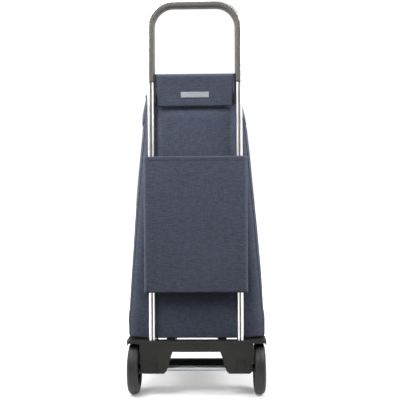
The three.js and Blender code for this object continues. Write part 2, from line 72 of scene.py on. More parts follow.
BACK_LO, BACK_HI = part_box("bag_back")
FRONT_LO, FRONT_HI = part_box("bag_front")
BAG_WALL = 3 * MM
BAG_Z = (BACK_LO.z, BACK_HI.z)
BAG_REAR = (BACK_LO.y, BACK_HI.y - BAG_WALL)
BAG_FRONT = (FRONT_HI.y, FRONT_LO.y + BAG_WALL)


# ---- Mesh helpers ----

def mesh_piece(name, verts, faces, material, body):
    """A mesh in the row frame that rides on a body."""
    data = bpy.data.meshes.new(name)
    data.from_pydata([tuple(v) for v in verts], [], faces)
    data.validate()
    piece = bpy.data.objects.new(name, data)
    bpy.context.scene.collection.objects.link(piece)
    data.materials.append(material)
    data.polygons.foreach_set("use_smooth", [True] * len(data.polygons))
    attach(piece, body)
    return piece


def grid_faces(rows, cols, wrap_rows=False, wrap_cols=False):
    """The quads of a grid whose vertex (i, j) has the index i * cols + j."""
    faces = []
    for i in range(rows if wrap_rows else rows - 1):
        for j in range(cols if wrap_cols else cols - 1):
            a, b = i * cols, (i + 1) % rows * cols
            k = (j + 1) % cols
            faces.append((a + j, a + k, b + k, b + j))
    return faces


def skin(name, rings, material, body):
    """A closed tube over rings of equally many points, with a flat face over each end."""
    rows, cols = len(rings), len(rings[0])
    faces = grid_faces(rows, cols, wrap_cols=True)
    faces.append(tuple(range(cols))[::-1])
    faces.append(tuple((rows - 1) * cols + j for j in range(cols)))
    return mesh_piece(name, np.concatenate(rings), faces, material, body)


def surface_normals(points, wrap_rows=False, wrap_cols=False):
    """Unit normals of a grid of points, on the side that grid_faces shows."""
    def slope(axis, wrap):
        if wrap:
            return np.roll(points, -1, axis) - np.roll(points, 1, axis)
        return np.gradient(points, axis=axis)
    normal = np.cross(slope(1, wrap_cols), slope(0, wrap_rows))
    return normal / np.maximum(np.linalg.norm(normal, axis=2, keepdims=True), 1e-12)


def cloth_sheet(name, points, thickness, material, body, wrap_rows=False, wrap_cols=False):
    """A closed sheet whose outer face is a grid of points; the thickness may vary over it."""
    points = np.asarray(points, float)
    rows, cols = points.shape[:2]
    depth = np.broadcast_to(thickness, (rows, cols))[..., None]
    inner = points - surface_normals(points, wrap_rows, wrap_cols) * depth
    verts = np.concatenate([points.reshape(-1, 3), inner.reshape(-1, 3)])
    outside = grid_faces(rows, cols, wrap_rows, wrap_cols)
    total = rows * cols
    faces = outside + [tuple(total + k for k in reversed(f)) for f in outside]
    rims = []
    wraps = []
    if not wrap_rows:
        rims += [list(range(cols)), [(rows - 1) * cols + j for j in reversed(range(cols))]]
        wraps += [wrap_cols, wrap_cols]
    if not wrap_cols:
        rims += [[i * cols for i in reversed(range(rows))], [i * cols + cols - 1 for i in range(rows)]]
        wraps += [wrap_rows, wrap_rows]
    for rim, wrap in zip(rims, wraps):
        ends = zip(rim, rim[1:] + rim[:1]) if wrap else zip(rim, rim[1:])
        faces += [(b, a, total + a, total + b) for a, b in ends]
    return mesh_piece(name, verts, faces, material, body)


def cord_on(name, points, radius, material, body, closed=False, sides=8):
    """A thin round strip, such as piping, along a line of points."""
    points = [Vector(p) for p in points]
    count, rings = len(points), []
    for i, p in enumerate(points):
        ahead = points[(i + 1) % count] if closed or i + 1 < count else p
        behind = points[i - 1] if closed or i else p
        along = (ahead - behind).normalized()
        side = along.orthogonal() if abs(along.z) > 0.99 else along.cross(Vector((0, 0, 1)))
        side.normalize()
        up = side.cross(along)
        rings.append([p + radius * (side * math.cos(a) + up * math.sin(a))
                      for a in np.linspace(0, 2 * math.pi, sides, endpoint=False)])
    faces = grid_faces(count, sides, wrap_rows=closed, wrap_cols=True)
    if not closed:
        faces += [tuple(range(sides))[::-1], tuple((count - 1) * sides + k for k in range(sides))]
    return mesh_piece(name, np.concatenate(rings), faces, material, body)


def stitches(name, points, normals, body, pitch=4.2 * MM, length=2.9 * MM, radius=0.38 * MM):
    """A row of separate thread stitches along a line on a surface."""
    lift = 0.1 * MM
    points, normals = np.asarray(points, float), np.asarray(normals, float)
    reach = np.concatenate([[0], np.cumsum(np.linalg.norm(np.diff(points, axis=0), axis=1))])
    centres = np.arange(pitch, reach[-1] - pitch / 2, pitch)
    at = lambda values, where: np.stack([np.interp(where, reach, values[:, k]) for k in range(3)], 1)
    here, up = at(points, centres), at(normals, centres)
    along = at(points, centres + length / 2) - at(points, centres - length / 2)
    along /= np.linalg.norm(along, axis=1, keepdims=True)
    across = np.cross(along, up)
    verts, faces, sides = [], [], 5
    sections = [(-0.5, 0.35), (-0.28, 1.0), (0.28, 1.0), (0.5, 0.35)]  # share of the length, of the radius
    for c, u, a, s in zip(here, up, along, across):
        first = len(verts)
        for share, fat in sections:
            for k in range(sides):
                angle = 2 * math.pi * k / sides
                verts.append(c + u * lift + a * length * share
                             + radius * fat * (s * math.cos(angle) + u * math.sin(angle)))
        faces += [tuple(first + k for k in f) for f in grid_faces(len(sections), sides, wrap_cols=True)]
        last = first + (len(sections) - 1) * sides
        faces += [tuple(first + k for k in reversed(range(sides))), tuple(last + k for k in range(sides))]
    return mesh_piece(name, verts, faces, THREAD, body)


def add_modifier(piece, kind, **settings):
    modifier = piece.modifiers.new(kind.title(), kind)
    for key, value in settings.items():
        setattr(modifier, key, value)


def smoothstep(low, high, x):
    t = np.clip((x - low) / (high - low), 0, 1)
    return t * t * (3 - 2 * t)


def bell(x, centre, spread):
    """1 at the centre, falling smoothly to 0 on both sides."""
    return math.exp(-((x - centre) / spread) ** 2)


def lerp(pair, t):
    return pair[0] + (pair[1] - pair[0]) * t


def rounded_loop(half_u, half_v, radius, side_u=6, side_v=16, arc=6):
    """A rounded rectangle as points (u, v), from the middle of its side v = -half_v towards +u."""
    line = lambda a, b, n: [(lerp((a[0], b[0]), k / n), lerp((a[1], b[1]), k / n)) for k in range(n)]
    turn = lambda u, v, start: [
        (u + radius * math.cos(start + math.pi / 2 * k / arc),
         v + radius * math.sin(start + math.pi / 2 * k / arc)) for k in range(arc)]
    u, v = half_u - radius, half_v - radius
    points = line((0, -half_v), (u, -half_v), side_u // 2) + turn(u, -v, -math.pi / 2)
    points += line((half_u, -v), (half_u, v), side_v) + turn(u, v, 0)
    points += line((u, half_v), (-u, half_v), side_u) + turn(-u, v, math.pi / 2)
    points += line((-half_u, v), (-half_u, -v), side_v) + turn(-u, -v, math.pi)
    points += line((-u, -half_v), (0, -half_v), side_u // 2)
    return np.array(points)


def along_loop(loop, shares):
    """Points at these shares of the way round a closed loop."""
    closed = np.vstack([loop, loop[:1]])
    reach = np.concatenate([[0], np.cumsum(np.linalg.norm(np.diff(closed, axis=0), axis=1))])
    at = np.asarray(shares) * reach[-1]
    return np.stack([np.interp(at, reach, closed[:, k]) for k in range(2)], axis=1)


# ---- Materials ----

class Nodes:
    """A short way of writing a material's node tree."""

    def __init__(self, name):
        self.material = bpy.data.materials.new(name)
        self.material.use_nodes = True
        self.tree = self.material.node_tree
        self.shader = self.tree.nodes["Principled BSDF"]
        self.place = self.tree.nodes.new("ShaderNodeTexCoord").outputs["Object"]

    def new(self, kind, inputs=(), **settings):
        node = self.tree.nodes.new("ShaderNode" + kind)
        for key, value in settings.items():
            setattr(node, key, value)
        for key, value in dict(inputs).items():
            self.put(node.inputs[key], value)
        return node

    def put(self, socket, value):
        if isinstance(value, bpy.types.NodeSocket):
            self.tree.links.new(value, socket)
        else:
            socket.default_value = value

    def maths(self, operation, *values):
        return self.new("Math", dict(enumerate(values)), operation=operation).outputs[0]

    def scaled(self, x, y, z):
        return self.new("Mapping", {"Vector": self.place, "Scale": (x, y, z)}).outputs[0]

    def noise(self, scale, detail=2.0, vector=None, roughness=0.5):
        inputs = {"Vector": vector or self.place, "Scale": scale, "Detail": detail, "Roughness": roughness}
        return self.new("TexNoise", inputs).outputs["Fac"]

    def ramp(self, value, low, high, dark, light):
        node = self.new("MapRange", {0: value, 1: low, 2: high, 3: dark, 4: light})
        return node.outputs[0]

    def blend(self, share, a, b):
        node = self.new("Mix", {0: share, 6: a, 7: b}, data_type="RGBA")
        return node.outputs[2]

    def bump(self, height, strength, distance):
        inputs = {"Height": height, "Strength": strength, "Distance": distance}
        return self.new("Bump", inputs).outputs["Normal"]

    def finish(self, **inputs):
        for key, value in inputs.items():
            self.put(self.shader.inputs[key.replace("_", " ")], value)
        return self.material


def linear(r, g, b):
    """A colour given as sRGB values up to 255."""
    channel = lambda c: c / 12.92 if c <= 0.04045 else ((c + 0.055) / 1.055) ** 2.4
    return (*(channel(c / 255) for c in (r, g, b)), 1.0)


def woven(name, dark, light, pitch=1.3 * MM, sheen=0.12):
    """Melange cloth: long dark and light threads both ways, with a woven surface."""
    n = Nodes(name)
    fine, long = 620, 70  # noise scales across a thread and along it
    warp_share, weft_share, cloudiness = 0.36, 0.64, 0.12
    warp = n.noise(1, 3, n.scaled(fine, fine, long))
    weft = n.noise(1, 3, n.scaled(long, long, fine))
    threads = n.maths(
        "ADD", n.maths("MULTIPLY", warp, warp_share), n.maths("MULTIPLY", weft, weft_share))
    cloudy = n.maths("MULTIPLY", n.maths("SUBTRACT", n.noise(9, 2), 0.5), cloudiness)
    share = n.ramp(n.maths("ADD", threads, cloudy), 0.32, 0.68, 0.0, 1.0)
    axes = n.new("SeparateXYZ", {0: n.place}).outputs
    turn = 2 * math.pi / pitch
    across = n.maths("SINE", n.maths("MULTIPLY", n.maths("ADD", axes[0], axes[1]), turn))
    upward = n.maths("SINE", n.maths("MULTIPLY", axes[2], turn))
    weave = n.maths("ADD", n.maths("MULTIPLY", across, upward), n.maths("MULTIPLY", threads, 2.0))
    rough = n.ramp(threads, 0.3, 0.7, 0.82, 0.95)
    return n.finish(
        Base_Color=n.blend(share, dark, light), Roughness=rough, Sheen_Weight=sheen,
        Sheen_Roughness=0.5, Normal=n.bump(weave, 0.35, 0.25 * MM), Specular_IOR_Level=0.25)


def moulded(name, colour, worn, roughness=0.5, grain=1400, strength=0.12, gleam=0.5):
    """Moulded plastic: an eroded texture, slightly uneven gloss and faint scuffs."""
    n = Nodes(name)
    scuff = n.ramp(n.noise(60, 5, n.scaled(1, 1, 3), 0.65), 0.58, 0.75, 0.0, 0.35)
    gloss = n.ramp(n.noise(14, 3), 0.3, 0.7, roughness - 0.06, roughness + 0.08)
    height = n.noise(grain, 2)
    return n.finish(
        Base_Color=n.blend(scuff, colour, worn), Roughness=gloss, Specular_IOR_Level=gleam,
        Normal=n.bump(height, strength, 0.2 * MM))


def drawn_metal(name, colour, roughness, stretch=(900, 900, 12), strength=0.05):
    """Metal with fine lines along the way that it was drawn."""
    n = Nodes(name)
    lines = n.noise(1, 3, n.scaled(*stretch))
    smudge = n.ramp(n.noise(25, 4), 0.35, 0.7, -0.03, 0.06)
    rough = n.maths("ADD", n.ramp(lines, 0.3, 0.7, roughness - 0.04, roughness + 0.06), smudge)
    shade = n.ramp(lines, 0.25, 0.75, 0.0, 1.0)
    darker = (*(c * 0.86 for c in colour[:3]), 1.0)
    return n.finish(
        Base_Color=n.blend(shade, darker, colour), Metallic=1.0, Roughness=rough,
        Normal=n.bump(lines, strength, 0.1 * MM))


FABRIC = woven("fabric_navy", linear(54, 59, 73), linear(84, 90, 108))
LINING = woven("fabric_lining", linear(30, 32, 38), linear(44, 47, 54), 0.8 * MM, 0.05)
WEBBING = woven("webbing", linear(26, 28, 34), linear(46, 49, 58), 2.2 * MM, 0.1)
THREAD = woven("thread", linear(52, 57, 72), linear(84, 90, 106), 0.6 * MM, 0.1)
LABEL = woven("label_cloth", linear(150, 154, 162), linear(190, 194, 200), 0.7 * MM, 0.1)
ALUMINIUM = drawn_metal("aluminium", linear(232, 232, 230), 0.32, (700, 700, 6), strength=0.01)
# A darker copy of the aluminium: painted shade for the shadow deep in the tubes' groove.
GROOVE_SHADE = drawn_metal("aluminium_groove_painted_shade", linear(122, 122, 121), 0.5, (700, 700, 6), strength=0.01)
ZINC = drawn_metal("zinc", linear(176, 182, 186), 0.32, (12, 900, 900))
GRIP = moulded("soft_grip", linear(84, 81, 78), linear(104, 100, 96), 0.55, 1800, 0.1)
PLASTIC = moulded("black_plastic", linear(30, 29, 27), linear(47, 45, 42), 0.46, gleam=0.3)
# The skid's black is much darker than the chassis plastic: painted shade for the shadow it sits in under the
# platform.
SKID_SHADED = moulded("skid_plastic_painted_shade", linear(12, 12, 12), linear(26, 26, 26), 0.7, gleam=0.1)
TYRE = moulded("tyre_rubber", linear(24, 24, 24), linear(52, 51, 49), 0.5, 900, 0.2, gleam=0.45)
ROD = moulded("painted_rod", linear(26, 26, 27), linear(48, 48, 48), 0.38, 500, 0.08)


# ---- Camera, light and floor ----

ROOM_LIGHT = 0.14  # brightness of the room behind the camera, against the white wall
LEFT_LIGHT, RIGHT_LIGHT = 0.72, 0.64  # brightness of the screens on both sides
CEILING_SHARE = 0.55  # brightness overhead, against the same direction lower down
KEY_POWER, FILL_POWER, TOP_POWER = 22.5, 6, 28  # watts
LEFT_POWER, RIGHT_POWER = 17, 20
FLOOR_GLOW = (0.155, 1.0)  # under the trolley and far from it
GLOW_FROM_TO = (0.35, 1.3)  # the distances between which the floor's glow grows


def camera():
    """A level camera behind the trolley, a little to the right of its middle."""
    distance, height, offset = 1.8, 0.502, 0.053
    lens, sensor = 62.4, 36  # millimetres
    yaw, roll = math.radians(1.34), math.radians(0.37)
    data = bpy.data.cameras.new("camera")
    data.lens, data.sensor_width = lens, sensor
    view = bpy.data.objects.new("camera", data)
    bpy.context.scene.collection.objects.link(view)
    view.location = (offset, AXLE.y - distance, height)
    view.rotation_euler = Euler((math.pi / 2, 0, yaw), "XYZ")
    view.rotation_euler.rotate_axis("Z", -roll)
    bpy.context.scene.camera = view


def area_light(name, place, target, size, power):
    """A round soft lamp that points at its target."""
    data = bpy.data.lights.new(name, "AREA")
    data.shape, data.size, data.energy = "DISK", size, power
    lamp = bpy.data.objects.new(name, data)
    bpy.context.scene.collection.objects.link(lamp)
    lamp.location = place
    lamp.rotation_euler = (Vector(target) - Vector(place)).to_track_quat("-Z", "Y").to_euler()


def surroundings():
    """A white wall ahead and bright screens on both sides. The camera itself sees white all round."""
    world = bpy.data.worlds.new("studio")
    bpy.context.scene.world = world
    world.use_nodes = True
    tree = world.node_tree
    axes = tree.nodes.new("ShaderNodeSeparateXYZ")
    tree.links.new(tree.nodes.new("ShaderNodeTexCoord").outputs["Generated"], axes.inputs[0])

    def fade(socket, low, high, dark, light):
        node = tree.nodes.new("ShaderNodeMapRange")
        node.interpolation_type = "SMOOTHSTEP"
        for index, value in enumerate((low, high, dark, light), 1):
            node.inputs[index].default_value = value
        tree.links.new(socket, node.inputs[0])
        return node.outputs[0]

    def combine(operation, a, b):
        node = tree.nodes.new("ShaderNodeMath")
        node.operation = operation
        tree.links.new(a, node.inputs[0])
        tree.links.new(b, node.inputs[1])
        return node.outputs[0]

    x, y, z = axes.outputs
    screens = combine("ADD", fade(x, -0.85, -0.35, LEFT_LIGHT, 0), fade(x, 0.35, 0.85, 0, RIGHT_LIGHT))
    around = combine("MAXIMUM", fade(y, -0.1, 0.6, ROOM_LIGHT, 1.02), screens)
    height = combine("MULTIPLY", fade(z, -0.3, 0, 0.03, 1), fade(z, 0.3, 0.8, 1, CEILING_SHARE))
    background = tree.nodes["Background"]
    background.inputs["Color"].default_value = (1, 1, 1, 1)
    seen = tree.nodes.new("ShaderNodeLightPath").outputs["Is Camera Ray"]
    strength = combine("MAXIMUM", combine("MULTIPLY", around, height), seen)
    tree.links.new(strength, background.inputs["Strength"])


def studio():
    """The surroundings, five soft lamps and a white floor that gets brighter away from the trolley."""
    surroundings()
    middle = (0, 0, 0.6)
    area_light("key_light", (-0.5, -0.95, 1.65), (0, 0, 0.8), 0.9, KEY_POWER)
    area_light("fill_light", (1.4, -1.4, 1.5), middle, 1.2, FILL_POWER)
    area_light("top_light", (0, 0.2, 3.2), middle, 2.6, TOP_POWER)
    area_light("left_light", (-1.25, 0, 1.25), (0, 0, 0.7), 0.8, LEFT_POWER)
    area_light("right_light", (1.2, -0.2, 1.25), (0, 0, 0.7), 0.8, RIGHT_POWER)
    bpy.context.scene.view_settings.view_transform = "Standard"

    size = 60
    corners = [(-size, -size, 0), (size, -size, 0), (size, size, 0), (-size, size, 0)]
    data = bpy.data.meshes.new("floor")
    data.from_pydata(corners, [], [(0, 1, 2, 3)])
    floor = bpy.data.objects.new("floor", data)
    bpy.context.scene.collection.objects.link(floor)
    floor.visible_diffuse = False  # the floor throws no light back up at the bag
    n = Nodes("floor_paint")
    tone = n.ramp(n.noise(3, 2), 0.3, 0.7, 0.93, 0.95)
    white = n.new("CombineColor", {0: tone, 1: tone, 2: tone}).outputs[0]
    away = n.new("VectorMath", {0: n.place}, operation="LENGTH").outputs["Value"]
    glow = n.ramp(away, *GLOW_FROM_TO, *FLOOR_GLOW)
    data.materials.append(n.finish(
        Base_Color=white, Roughness=0.9, Emission_Color=(1, 1, 1, 1), Emission_Strength=glow))


# ---- Frame tube and grip ----

def frame_stations(bottom_z, step, bend_steps=24):
    """Places along the frame's centreline, each with the way inward and the angle of its bend."""
    top = BAR_Z - TUBE_BEND
    legs = np.linspace(bottom_z, top, max(2, round((top - bottom_z) / step)))[:-1]
    left = [(Vector((-TUBE_X, TUBE_Y, z)), Vector((1, 0, 0)), 0.0) for z in legs]
    for k in range(bend_steps + 1):
        a = math.pi / 2 * k / bend_steps
        inward = Vector((math.cos(a), 0, -math.sin(a)))
        centre = Vector((-TUBE_X + TUBE_BEND, TUBE_Y, top))
        left.append((centre - inward * TUBE_BEND, inward, a))
    flip = lambda v: Vector((-v.x, v.y, v.z))
    right = [(flip(p), flip(n), a) for p, n, a in reversed(left)]
    bar = np.linspace(-1, 1, 20)[1:-1] * (TUBE_X - TUBE_BEND)
    middle = [(Vector((x, TUBE_Y, BAR_Z)), Vector((0, 0, -1)), math.pi / 2) for x in bar]
    return left + middle + right


def ring_at(station, section):
    """A section (u rearwards, v inwards) set across the frame's centreline."""
    place, inward, _ = station
    rearward = Vector((0, -1, 0))
    return [place + rearward * u + inward * v for u, v in section]


def frame_tube():
    """A tube of two lobes, with a groove between them down its back and its front; the groove's faces get
    painted shade.
    """
    half_u, half_v = TUBE_DEPTH / 2, TUBE_WIDTH / 2
    corner, crown = 4.6 * MM, 1.5 * MM
    loop = rounded_loop(half_u, half_v, corner, side_v=22, arc=9)
    groove_at, groove_half, groove_depth = 0.7 * MM, 2.4 * MM, 3.6 * MM
    outer_lobe = (groove_at - groove_half + half_v) / 2
    inner_lobe = (half_v - groove_at - groove_half) / 2
    face = np.abs(loop[:, 0]) > half_u - 0.1 * MM
    past = loop[:, 1] - groove_at
    near = np.clip(1 - (past / groove_half) ** 2, 0, None) ** 0.5
    # Each lobe's face is slightly round.
    lobe = np.where(past < 0, (past + groove_half + outer_lobe) / outer_lobe,
                    (past - groove_half - inner_lobe) / inner_lobe)
    loop[:, 0] -= np.sign(loop[:, 0]) * np.where(
        face, groove_depth * near + np.where(near > 0, 0, crown * lobe ** 2), 0)
    stations = frame_stations(TUBE_LO.z, 60 * MM)
    piece = skin("tube_frame", [ring_at(s, loop) for s in stations], ALUMINIUM, "frame")
    # The faces deep in the groove take the darker aluminium: painted shade.
    piece.data.materials.append(GROOVE_SHADE)
    cols, painted_shade = len(loop), (near > 0.3) & face
    for polygon in piece.data.polygons:
        row, j = divmod(polygon.index, cols)
        if row < len(stations) - 1 and painted_shade[j] and painted_shade[(j + 1) % cols]:
            polygon.material_index = 1
    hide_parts("frame_tube")


def handle_grip():
    """The grip covers the tube's back, inside and front; it wrinkles a little in the bends."""
    margin, inner_corner, outer_corner = 0.35 * MM, 4.9 * MM, 7.5 * MM
    inner = rounded_loop(TUBE_DEPTH / 2 + margin, TUBE_WIDTH / 2 + margin, inner_corner)
    outer = rounded_loop(TUBE_DEPTH / 2 + GRIP_THICK, TUBE_WIDTH / 2 + GRIP_THICK, outer_corner)
    notch_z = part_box("hanger_clip_left")[1].z + 2 * MM  # below it the grip makes room for a clip
    notch_v = TUBE_WIDTH / 2 + 0.1 * MM
    samples = 44  # points across the grip
    rim = 6.4 * MM  # the width of bare tube that shows beside the grip
    wrinkle_turn, wrinkle_depth = math.radians(4.5), 0.28 * MM
    half_steps = 500
    fine = along_loop(outer, np.linspace(0, 0.5, half_steps))
    bare = np.argmax(fine[:, 1] > rim - TUBE_WIDTH / 2) / (2 * half_steps)
    shares = np.linspace(bare, 1 - bare, samples)
    plain, within = along_loop(outer, shares), along_loop(inner, shares)
    towards = np.stack([np.sign(plain[:, 0]) * 0.6, np.ones(samples)], axis=1)
    rings = []
    for station in frame_stations(GRIP_LO.z, 5 * MM, bend_steps=110):
        place, _, angle = station
        bent = smoothstep(math.radians(4), math.radians(20), angle)
        bent *= 1 - smoothstep(math.radians(70), math.radians(86), angle)
        wave = 0.5 - 0.5 * math.cos(2 * math.pi * angle / wrinkle_turn)
        out = plain - towards * wrinkle_depth * bent * wave * (plain[:, 1:] > 0)
        inside = within.copy()
        if place.z < notch_z:
            out[:, 1] = np.minimum(out[:, 1], notch_v + 0.15 * MM)
            inside[:, 1] = np.minimum(inside[:, 1], notch_v)
        lips = [(out[-1] * 0.55 + inside[-1] * 0.45), (out[0] * 0.55 + inside[0] * 0.45)]
        rings.append(ring_at(station, np.vstack([out, lips[:1], inside[::-1], lips[1:]])))
    piece = skin("grip", rings, GRIP, "frame")
    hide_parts("handle_grip")


# ---- Parts kept from the frame ----

BEVEL_ANGLE = math.radians(35)


def keep(names, material, bevel):
    """Carried-over parts: their edges are softened and they get a material."""
    for name in names:
        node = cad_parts[name]
        node.data.materials.clear()
        node.data.materials.append(material)
        node.data.polygons.foreach_set("use_smooth", [True] * len(node.data.polygons))
        add_modifier(node, "WELD", merge_threshold=0.02 * MM)
        if bevel:
            add_modifier(node, "BEVEL", width=bevel, segments=2, limit_method="ANGLE",
                         angle_limit=BEVEL_ANGLE, use_clamp_overlap=True)
        add_modifier(node, "WEIGHTED_NORMAL", keep_sharp=True)


def pair(*names):
    """The left and right nodes of these names."""
    return [f"{name}_{side}" for name in names for side in ("left", "right")]


# ---- Wheels ----

def lathe_about_x(name, profile, centre, material, body, segments=96):
    """A solid turned about an axis along X. The closed profile is a list of (radius, x)."""
    rings = []
    for k in range(segments):
        a = 2 * math.pi * k / segments
        rings.append([centre + Vector((x, r * math.cos(a), r * math.sin(a))) for r, x in profile])
    faces = grid_faces(segments, len(profile), wrap_rows=True, wrap_cols=True)
    return mesh_piece(name, np.concatenate(rings), faces, material, body)


def tyre(side):
    """A solid rubber tyre with round shoulders and two shallow grooves in its tread."""
    low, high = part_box(f"tyre_{side}")
    centre, radius, half = (low + high) / 2, (high.z - low.z) / 2, (high.x - low.x) / 2
    rim, shoulder = 50 * MM, 11.5 * MM
    groove_x, groove_half, groove_depth = 5.2 * MM, 0.8 * MM, 1.1 * MM
    profile = [(rim, -half + 3 * MM), (rim + 2 * MM, -half + 1.2 * MM)]
    steps = 30
    for k in range(steps + 1):
        x = lerp((-half, half), k / steps)
        edge = max(abs(x) - (half - shoulder), 0) / shoulder
        r = radius - shoulder * (1 - math.sqrt(max(1 - edge * edge, 0)))
        groove = math.exp(-((abs(x) - groove_x) / groove_half) ** 4)
        profile.append((r - groove_depth * groove, x))
    profile += [(rim + 2 * MM, half - 1.2 * MM), (rim, half - 3 * MM)]
    piece = lathe_about_x(f"tyre_{side}_rubber", profile, centre, TYRE, f"{side}_wheel")
    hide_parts(f"tyre_{side}")


# ---- Bag ----

BAG_CORNER = 34 * MM
BACK_HALF, CORNER, SIDE = 22, 8, 26  # points on half the back, on a corner and on a side
BAG_EDGE = 3 * MM  # radius of the bag's lower edge
BAG_BASE = BAG_Z[0] + 0.2 * MM
RIM_Z = BAG_Z[1] - 2 * MM
BAG_CLOTH, PIPING, MOUTH_BINDING = 1.6 * MM, 1.5 * MM, 2.2 * MM  # a thickness and two radii
TAPER_Z, TAPER_HALF = (190 * MM, 745 * MM), (177 * MM, 130.5 * MM)
TAPER_BELLY, FOOT_DRAW = 2 * MM, 0.6 * MM
LEFT_OUT = 0.6 * MM  # the whole left side, and its shoulder as bulges: depth, height, spread
LEFT_BULGES = [(5.4 * MM, 718 * MM, 26 * MM), (3.8 * MM, 752 * MM, 25 * MM)]
RIGHT_DRAWS = [(2.4 * MM, 240 * MM, 400 * MM), (5 * MM, 690 * MM, 765 * MM)]  # depth, from, to
BASE_OUT = 2.2 * MM
SAG_BELLY, SAG_FOLDS, SAG_FINE = 5 * MM, 3.2 * MM, 0.9 * MM
PUFF, PUFF_UNDER_BAND = 14 * MM, 5.5 * MM  # swell of the back between the tubes, and its loss at the band
TUBE_DENT = 6 * MM
REAR_DROOP = 2.6 * MM
SKIRT_Z = 700 * MM  # lower edge of the lid's skirts
SKIRT_TUCK = 2 * MM  # how far the bag's sides go in under the skirts


def bag_half(z):
    """Half the bag's width: a straight taper with a slight belly, drawn in at the very bottom."""
    t = (z - TAPER_Z[0]) / (TAPER_Z[1] - TAPER_Z[0])
    belly = TAPER_BELLY * math.sin(math.pi * min(max(t, 0), 1)) ** 1.4
    foot = FOOT_DRAW * max(1 - (z - BAG_Z[0]) / (40 * MM), 0) ** 2
    return lerp(TAPER_HALF, t) + belly - foot if t > 0 else TAPER_HALF[0] - foot


def bag_share(z):
    """0 at the bag's bottom, 1 at its mouth."""
    return (z - BAG_Z[0]) / (BAG_Z[1] - BAG_Z[0])


def lean(x, z):
    """Sideways shift of the bag's cloth: its left shoulder stands out and its right one hangs in."""
    if x > 0:
        shift = -sum(depth * smoothstep(low, high, z) for depth, low, high in RIGHT_DRAWS)
    else:
        shift = LEFT_OUT + sum(depth * bell(z, at, spread) for depth, at, spread in LEFT_BULGES)
    shift += BASE_OUT * (1 - smoothstep(195 * MM, 225 * MM, z))
    return x * shift / bag_half(z)


def bag_ring(z, shrink=0.0, corner=BAG_CORNER):
    """The bag's outline at a height, from the middle of its back towards +X."""
    half = bag_half(z) - shrink
    rear = lerp(BAG_REAR, bag_share(z)) + shrink
    front = lerp(BAG_FRONT, bag_share(z)) - shrink
    r = max(corner - shrink, 6 * MM)

    def arc(cx, cy, start):
        angles = [start + math.pi / 2 * k / CORNER for k in range(CORNER)]
        return [(cx + r * math.cos(a), cy + r * math.sin(a)) for a in angles]

    right = [(x, rear) for x in np.linspace(0, half - r, BACK_HALF, endpoint=False)]
    right += arc(half - r, rear + r, -math.pi / 2)
    right += [(half, y) for y in np.linspace(rear + r, front - r, SIDE, endpoint=False)]
    right += arc(half - r, front - r, 0)
    right += [(x, front) for x in np.linspace(half - r, 0, BACK_HALF, endpoint=False)]
    right.append((0, front))
    left = [(-x, y) for x, y in reversed(right[1:-1])]
    return [Vector((x + lean(x, z), y, z)) for x, y in right + left]


def ring_normal(ring, j):
    """The level outward direction at one point of a ring."""
    tangent = ring[(j + 1) % len(ring)] - ring[j - 1]
    return Vector((tangent.y, -tangent.x, 0)).normalized()


def sag(p):
    """How far the cloth stands out of its flat panel at a point: soft belly and a few long folds."""
    t = bag_share(p.z)
    belly = SAG_BELLY * math.sin(math.pi * min(max(t, 0), 1)) ** 0.8
    folds = noise.noise(Vector((p.x * 9, p.y * 9, p.z * 4))) * SAG_FOLDS
    fine = noise.noise(Vector((p.x * 26, p.y * 26, p.z * 11))) * SAG_FINE
    hold = smoothstep(0.0, 0.1, t) * (1 - smoothstep(0.93, 1.0, t))
    return (belly + folds + fine) * hold


def puff(p):
    """How far the back swells between the tubes, from behind the sleeve up to the band."""
    between = max(1 - (p.x / (TUBE_X - 16 * MM)) ** 10, 0)
    swell = PUFF * smoothstep(530 * MM, 605 * MM, p.z)
    swell -= PUFF_UNDER_BAND * smoothstep(718 * MM, 738 * MM, p.z)
    return between * swell * (1 - smoothstep(742 * MM, 768 * MM, p.z))


def tube_dent(p):
    """How far the tubes press the bag's back in, below and above the sleeve."""
    across = bell(abs(p.x), TUBE_X - 12 * MM, 15 * MM)
    below, above = bell(p.z, 232 * MM, 38 * MM), bell(p.z, 680 * MM, 50 * MM)
    return TUBE_DENT * across * (below + 0.4 * above)


def cloth_rise(p, normal):
    """How far a point of the bag's outline moves outwards, with its belly, folds, swell and dents."""
    back = max(-normal.y, 0)
    held = 1 - 0.75 * back  # the tubes and the sleeve hold the back flat
    tuck = SKIRT_TUCK * abs(normal.x) * smoothstep(SKIRT_Z - 9 * MM, SKIRT_Z, p.z)
    return sag(p) * held + back * (puff(p) - tube_dent(p)) - tuck


def droop(p):
    """How far the bag's lower rear edge hangs below its bottom, behind the platform."""
    behind = smoothstep(72 * MM, 92 * MM, -p.y) * (1 - smoothstep(120 * MM, 160 * MM, abs(p.x)))
    return REAR_DROOP * behind * (1 - smoothstep(BAG_Z[0] + 4 * MM, BAG_Z[0] + 30 * MM, p.z))


def bulged(ring):
    """A ring of the bag with its cloth's shape."""
    points = []
    for j, p in enumerate(ring):
        normal = ring_normal(ring, j)
        points.append(p + normal * cloth_rise(p, normal) - Vector((0, 0, droop(p))))
    return points


def bulged_at(z, column):
    """One point of the bag's cloth, by its height and its column. The lid uses it, above the droop."""
    ring = bag_ring(z)
    normal = ring_normal(ring, column)
    return ring[column] + normal * cloth_rise(ring[column], normal)


def bag_front_y(x, z):
    """The bag's front surface at a distance from its middle."""
    y = lerp(BAG_FRONT, bag_share(z))
    return y + sag(Vector((x + lean(x, z), y, z)))


